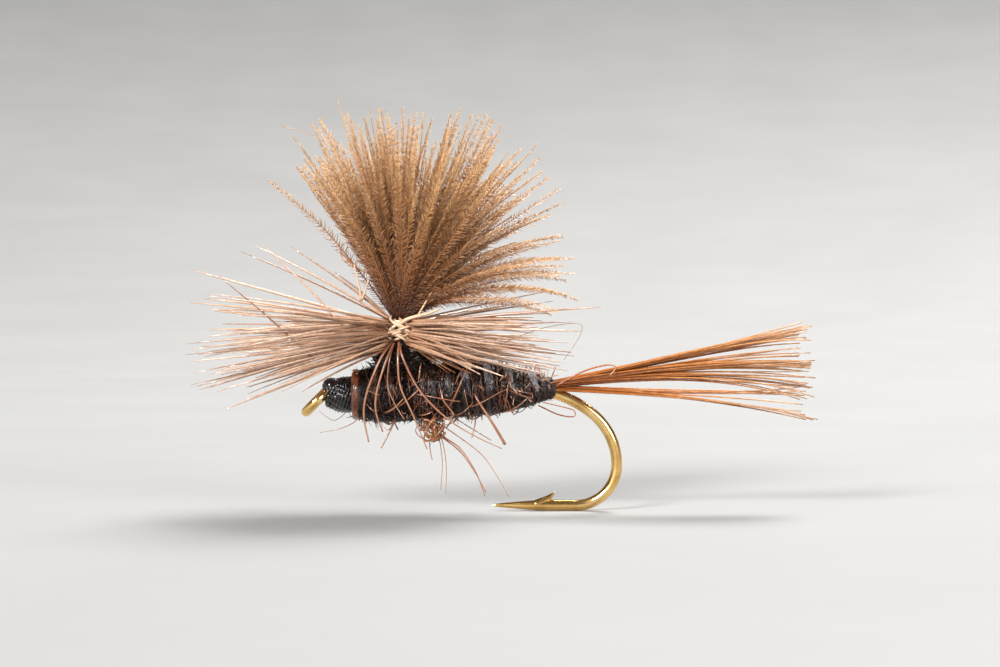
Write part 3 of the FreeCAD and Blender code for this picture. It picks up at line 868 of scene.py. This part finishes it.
def add_barbules(strands, paths, rng, rows=66, reach=0.33):
    """Side hairs in rows along every barb, leaning to its tip, like an ear of wheat."""
    tangents, normals = side_vectors(paths)
    count, points = paths.shape[:2]
    share = np.linspace(0.07, 0.995, rows) + rng.normal(0, 0.003, (count, rows))
    share = np.clip(share, 0.05, 0.995)
    place = share * (points - 1)
    low = np.minimum(place.astype(int), points - 2)
    mixed = (place - low)[..., None]
    index = np.arange(count)[:, None]

    def sample(values):
        return values[index, low] * (1 - mixed) + values[index, low + 1] * mixed

    root, along, normal = sample(paths), unit(sample(tangents)), unit(sample(normals))
    across = np.cross(along, normal)
    roll = rng.normal(0, 0.8, (count, 1)) + rng.normal(0, 0.2, (count, rows))
    for side in (0.0, math.pi):
        turn = roll + side + rng.normal(0, 0.2, (count, rows))
        out = normal * np.cos(turn)[..., None] + across * np.sin(turn)[..., None]
        add_side_row(strands, root, along, out, share, reach, rng)


def add_side_row(strands, root, along, out, share, reach, rng):
    """One row of side hairs: shorter, closer to the barb and a little thicker near its tip."""
    near_tip = np.clip((share - 0.62) / 0.38, 0, 1)
    length = reach * (0.7 + 0.3 * np.sin(np.pi * share)) * (1 - 0.52 * near_tip)
    length = length * rng.uniform(0.75, 1.1, share.shape)
    open_angle = np.radians(56 - 16 * near_tip + rng.normal(0, 6, share.shape))
    aim = along * np.cos(open_angle)[..., None] + out * np.sin(open_angle)[..., None]
    t = np.linspace(0, 1, 4)[None, None, :, None]
    length = length[..., None, None]
    hair = root[:, :, None] + aim[:, :, None] * t * length + along[:, :, None] * (t ** 2) * length * 0.16
    thick = rng.uniform(0.015, 0.024, share.shape) * (1 + 0.1 * near_tip)
    radii = thick.reshape(-1, 1) * np.array([1.0, 1.0, 0.8, 0.35])
    begins = share.reshape(-1) * 0.97
    span = np.stack([begins, np.minimum(begins + 0.1, 1.0)], -1)
    strands.add(hair.reshape(-1, 4, 3), radii, rng, sides=3, span=span)


def wing():
    """Five downy feathers that make the upright wing."""
    tall = (6.2, 9.0)
    long_hair = ([(-1.32, -0.5, 11.0), (0.3, -0.6, 10.5), (2.16, -0.6, 9.5)], 0.015)
    bare_stem = ([(2.3, -1.2, 7.9), (1.6, -1.3, 9.9), (0.96, -1.3, 12.0)], 0.03)
    wing_feather("down_forward", 46, (92, 124), (-16, 16), (6.6, 9.0), 0.4, 51, [long_hair, bare_stem])
    wing_feather("down_backward", 62, (42, 92), (-16, 16), (6.6, 9.0), 0.45, 52)
    wing_feather("down_near", 62, (48, 117), (-28, -12), tall, 0.45, 53)
    wing_feather("down_far", 54, (48, 117), (12, 28), tall, 0.45, 54)
    wing_feather("down_low", 44, (6, 50), (-18, 18), (5.6, 7.5), 0.7, 55)


# ---------- tail

TAIL_LENGTH = 10.95


def tail_bunch(name, stands_for, clumps, seed):
    """Stiff tail fibres in clumps: (fibres, rise near the root, rise at the tip, sideways), in degrees."""
    rng = seeded(seed)
    strands = Strands()
    for fibres, start_rise, end_rise, sideways in clumps:
        length = TAIL_LENGTH * rng.uniform(0.95, 1.01, (fibres, 1))
        t = np.linspace(0, 1, 20)[None, :]
        near, far = math.tan(math.radians(start_rise)), math.tan(math.radians(end_rise))
        splay = rng.normal(0, 0.14, (fibres, 1)) * t ** 2 + rng.normal(0, 0.14, (fibres, 1)) * t ** 7
        z = (near * t + (far - near) * t ** 2.6) * length + splay + rng.normal(0, 0.07, (fibres, 1))
        y = (math.tan(math.radians(sideways)) * length * t + rng.normal(0, 0.22, (fibres, 1)) * t ** 2
             + rng.normal(0, 0.12, (fibres, 1)))
        x = t * length * math.cos(math.radians(start_rise))
        paths = TAIL_ROOT + np.stack([x - 0.25, y, z], -1)
        radii = rng.uniform(0.03, 0.044, (fibres, 1)) * (1 - 0.25 * t - 0.15 * t ** 6)
        strands.add(paths, radii, rng, sides=6)
    strands.build(name, TAIL, "tail", stands_for)


def tail():
    """Three bunches that leave the body together and spread to the tips."""
    tail_bunch("tail_upper", "tail_fibres_upper",
               [(11, 12.8, 11.8, -2.5), (11, 12.0, 11.0, 2.0), (4, 10.5, 8.6, 0.5)], 61)
    tail_bunch("tail_middle", "tail_fibres_middle", [(12, 9.4, 4.8, -2.0), (11, 8.6, 4.2, 2.5)], 62)
    tail_bunch("tail_lower", "tail_fibres_lower",
               [(9, 7.0, 0.8, -1.0), (8, 5.8, -0.6, 2.0), (6, -2.6, -1.6, 1.5), (5, -2.8, -6.0, -1.0)], 63)


def tail_loop():
    """One loose fibre that curls over beside the tail root, and a flat loop under it."""
    rng = seeded(64)
    (x, near, z), (end_x, far, end_z) = box_mm("tail_stray_loop")
    y = (near + far) / 2
    path = smooth([(x, y, z), (x + 1.1, y - 0.05, end_z - 0.25), (end_x - 0.35, y, end_z),
                   (end_x, y + 0.04, end_z - 0.1), (end_x - 0.24, y + 0.05, end_z - 0.42)], 36)
    Strands().add(path, np.linspace(0.036, 0.026, 36), rng, sides=6).build(
        "tail_loose_fibre", TAIL, "leg", "tail_stray_loop")
    under = smooth([(x - 0.7, -0.35, -0.12), (x + 0.1, -0.45, -0.48), (x + 0.7, -0.45, -0.56),
                    (x + 0.72, -0.42, -0.32), (x + 0.2, -0.4, -0.16), (x - 0.5, -0.36, 0.0)], 44)
    Strands().add(under, np.linspace(0.03, 0.02, 44), rng, sides=6).build("tail_under_loop", LEG, "leg")


# ---------- legs and loose fibres

def curve_of(points, y, tip_share, count=30):
    """A smooth curve through (x, z) points that swings out to y and ends at a share of it."""
    places = np.linspace(0, 1, len(points))
    swing = y * np.interp(places, (0, 0.3, 0.6, 1), (0.55, 0.95, 1.05, tip_share))
    return smooth([(x, side, z) for (x, z), side in zip(points, swing)], count)


def add_curves(strands, curves, rng):
    """Tapered curves: (points, y, root radius, share of it left at the tip)."""
    for points, y, thick, left in curves:
        path = curve_of(points, y, rng.uniform(0.6, 1.4))
        strands.add(path, np.linspace(thick, thick * left, 30), rng, sides=7)
    return strands


def legs():
    """Knee-bent fibre legs on both sides of the thorax."""
    rng = seeded(70)
    near_y, far_y = middle("legs_near_side")[1], middle("legs_far_side")[1]
    add_curves(Strands(), (
        ([(3.02, 2.36), (2.6, 1.7), (2.1, 0.44), (1.98, -0.5), (2.16, -1.52)], near_y, 0.062, 0.5),
        ([(3.14, 2.36), (2.86, 1.7), (2.5, 0.5), (2.46, -0.32), (2.72, -1.12)], near_y - 0.08, 0.058, 0.5),
        ([(3.16, 2.4), (3.0, 1.8), (2.92, 0.8), (3.16, 0.1), (3.6, -0.6)], near_y + 0.05, 0.045, 0.4),
        ([(3.36, 2.4), (3.32, 1.8), (3.42, 0.7), (3.9, -0.4), (4.48, -1.8)], near_y, 0.056, 0.4),
        ([(3.36, 2.36), (3.54, 1.75), (4.2, 0.5), (5.3, -0.6), (6.4, -1.3), (7.44, -1.8)],
         near_y - 0.06, 0.056, 0.3),
        ([(4.9, 1.2), (5.1, 0.2), (5.52, -0.44), (5.1, -0.58)], near_y + 0.1, 0.045, 0.6),
        ([(6.08, 0.8), (6.5, 0.1), (7.1, -0.84), (7.56, -1.64)], near_y + 0.2, 0.036, 1.7)), rng).build(
            "legs_near", LEG, "leg", "legs_near_side")
    add_curves(Strands(), (
        ([(3.1, 2.36), (2.84, 1.7), (2.8, 0.6), (2.9, -0.4), (3.24, -1.2)], far_y, 0.052, 0.5),
        ([(3.4, 2.36), (3.6, 1.8), (4.4, 0.34), (5.4, -0.6), (7.0, -1.6)], far_y, 0.052, 0.4),
        ([(4.8, 1.1), (5.3, 0.0), (5.5, -0.6), (5.2, -1.1)], far_y, 0.045, 0.6)), rng).build(
            "legs_far", LEG, "leg", "legs_far_side")


def leg_knot():
    """A tangle of loops under the thorax where the legs cross, and short fibres that lead into it."""
    rng = seeded(71)
    centre = middle("leg_knot") + np.array([0, -0.2, 0.05])
    strands = Strands()
    for _ in range(15):
        loop_r = rng.uniform(0.22, 0.56)
        tilt = rng.normal(0, 1, (2, 3)) + np.array([[0, 0, 1.0], [0, 0, 0]])
        first = unit(tilt[0])
        second = unit(np.cross(first, tilt[1]))
        angle = np.linspace(0, rng.uniform(4.0, 7.5), 44)
        loop = centre + rng.normal(0, 0.1, 3) + loop_r * (
            np.cos(angle)[:, None] * first * 1.15 + np.sin(angle)[:, None] * second)
        strands.add(loop, np.linspace(0.04, 0.02, 44) * rng.uniform(0.6, 1.1), rng, sides=6)
    for _ in range(12):
        foot = np.array([rng.uniform(low, high) for low, high in ((-0.7, 0.6), (-0.8, 0.2), (-0.3, -0.1))])
        foot[0] += centre[0]
        end = centre + rng.normal(0, 0.22, 3)
        path = smooth([foot, (foot + end) / 2 + rng.normal(0, 0.1, 3), end], 14)
        strands.add(path, np.linspace(0.04, 0.022, 14), rng, sides=6)
    strands.build("leg_knot_loops", AMBER, "leg", "leg_knot")
    trailing_fibres(rng)


def trailing_fibres(rng):
    """The thin fibres that trail from the knot, and loose ones in front of it and behind it."""
    add_curves(Strands(), (
        ([(4.9, -1.2), (5.2, -1.44), (5.8, -1.88), (6.4, -2.8), (6.76, -3.76)], -0.3, 0.036, 0.6),
        ([(4.86, -1.3), (5.25, -1.54), (5.84, -2.04), (6.4, -2.86), (6.8, -3.6)], -0.36, 0.032, 0.6),
        ([(4.8, -0.8), (5.32, -1.12), (6.56, -2.04), (7.2, -2.9), (7.72, -3.8)], -0.1, 0.026, 0.5),
        ([(4.85, -1.2), (4.98, -1.7), (5.06, -2.5), (5.0, -3.48)], -0.3, 0.022, 0.5),
        ([(4.95, -1.2), (5.12, -1.8), (5.22, -2.6), (5.2, -3.64)], -0.4, 0.022, 0.5),
        ([(1.5, -0.1), (0.8, -0.7), (0.16, -0.36)], -0.5, 0.018, 0.6),
        ([(1.9, -0.4), (1.52, -0.8), (0.9, -1.06), (0.2, -1.2)], -0.6, 0.022, 0.5),
        ([(3.3, -0.5), (3.0, -1.1), (2.64, -1.8)], -0.7, 0.03, 0.9),
        ([(4.55, -1.6), (4.58, -1.95), (4.66, -2.3)], -0.4, 0.024, 0.9),
        ([(6.4, -0.4), (6.36, -0.9), (6.24, -1.4)], -0.6, 0.03, 0.7)), rng).build(
            "knot_trailing", LEG, "leg", "trailing_fibres")


def wing_butts():
    """The brown butts of the wing's feathers, laid back over the thorax, and a curled flake in front."""
    rng = seeded(72)
    count = 110
    side = (np.linspace(-1, 1, count) + rng.normal(0, 0.12, count))[:, None]
    t = np.linspace(0, 1, 12)[None, :]
    reach = rng.uniform(1.6, 3.3, count)[:, None]
    x = POST_X + rng.uniform(0.25, 0.5, (count, 1)) + reach * t
    y = side * (0.5 + 0.75 * t) + rng.normal(0, 0.06, (count, 1)) + rng.normal(0, 0.12, (count, 1)) * t
    drop = (0.85 + 0.25 * np.abs(side)) * t ** 0.9
    z = rng.uniform(2.35, 2.9, (count, 1)) - drop + rng.normal(0, 0.1, (count, 1)) * t
    strands = Strands()
    radii = rng.uniform(0.028, 0.046, (count, 1)) * (1 - 0.55 * t ** 2)
    strands.add(np.stack([x, y, z], -1), radii, rng, sides=5)
    root = np.array([POST_X - 1.2, -0.4, HUB_HIGH + 1.7])
    flake = [root + (x, 0, z) for x, z in ((0, 0), (-0.55, 0.3), (-1.1, 0.85), (-1.16, 1.0))]
    strands.add(smooth(flake, 24), np.repeat([0.05, 0.1, 0.07, 0.02], 6), rng, sides=7, flatten=0.4)
    arc = [root + (x, 0, z) for x, z in ((-0.5, 0.2), (-1.05, 0.6), (-1.1, 1.1), (-0.75, 1.45))]
    strands.add(smooth(arc, 24), np.linspace(0.024, 0.014, 24), rng, sides=5)
    strands.build("wing_butts", BUTT, "leg", "wing_butt_fibres")


# ---------- stage, light and camera

def stage():
    """A pale floor that curves up all round into a pale backdrop."""
    flat, curve, segments = 0.16, 0.75, 64
    climb = np.linspace(0, math.radians(78), 18)
    rings = [(flat + curve * math.sin(a), curve * (1 - math.cos(a))) for a in climb]
    turn = np.linspace(0, 2 * math.pi, segments, endpoint=False)
    points = [(r * math.cos(a), r * math.sin(a), z + FLOOR_Z * MM) for r, z in rings for a in turn]
    faces = [tuple(range(segments))]
    for i in range(len(rings) - 1):
        for j in range(segments):
            k = (j + 1) % segments
            low, high = i * segments, (i + 1) * segments
            faces.append((low + j, high + j, high + k, low + k))
    mesh = bpy.data.meshes.new("floor")
    mesh.from_pydata(points, [], faces)
    for polygon in mesh.polygons:
        polygon.use_smooth = True
    floor = placed("floor", mesh)
    material, tree, shader = tree_of("floor_pale")
    stops = [(0.3, (0.235, 0.232, 0.226)), (0.7, (0.25, 0.247, 0.241))]
    grain = noise(tree, object_place(tree), 60.0, 3.0)
    feed(tree, shader, {"Base Color": ramp(tree, grain, stops), "Roughness": 0.8})
    mesh.materials.append(material)


def area_light(name, place, target, size, power):
    """A soft square light aimed at a point."""
    data = bpy.data.lights.new(name, "AREA")
    data.size = size
    data.energy = power
    light = placed(name, data)
    light.location = place
    light.rotation_euler = (Vector(target) - Vector(place)).to_track_quat("-Z", "Y").to_euler()


def lights():
    """Soft studio light: a large key above the eye side, a fill, and a light behind for the edges."""
    target = (7 * MM, 0, 3 * MM)
    area_light("key", (-0.32, -0.52, 0.38), target, 0.2, 10.0)
    area_light("fill", (0.42, -0.4, 0.22), target, 0.26, 2.4)
    area_light("rim", (0.14, 0.24, 0.36), target, 0.2, 4.0)
    world = bpy.data.worlds.new("studio")
    world.use_nodes = True
    sky = world.node_tree.nodes["Background"]
    sky.inputs["Color"].default_value = (1.0, 0.99, 0.97, 1.0)
    sky.inputs["Strength"].default_value = 0.22
    bpy.context.scene.world = world
    bpy.context.scene.view_settings.view_transform = "Standard"


def camera():
    """A long macro view square on to the side of the fly."""
    low, high = CAD_BOX
    centre_x = (low[0] + high[0]) / 2
    aim_x, aim_z = centre_x - 0.16 * MM, 2.74 * MM
    data = bpy.data.cameras.new("camera")
    data.lens = 100
    data.sensor_width = 36
    data.clip_start = 0.005
    data.clip_end = 5.0
    frame_width = 40 * MM
    distance = frame_width * data.lens / data.sensor_width
    view = placed("camera", data)
    rise = math.radians(1.5)
    view.location = (aim_x, -distance * math.cos(rise), aim_z + distance * math.sin(rise))
    view.rotation_euler = (math.pi / 2 - rise, 0, 0)
    bpy.context.scene.camera = view


def underbody_material():
    """The hidden thread under the body keeps its CAD shape and gets the thread's material."""
    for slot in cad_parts["thread_underbody"].material_slots:
        slot.material = THREAD


camera()
lights()
stage()
underbody_material()
hook()
herl_winding()
body_fuzz()
body_glints()
body_loops()
rear_stubs()
abdomen_rib()
tail_tie_down()
quill_band()
head()
cement()
wing_post()
hackle_stem()
hackle()
wing()
tail()
tail_loop()
legs()
leg_knot()
wing_butts()
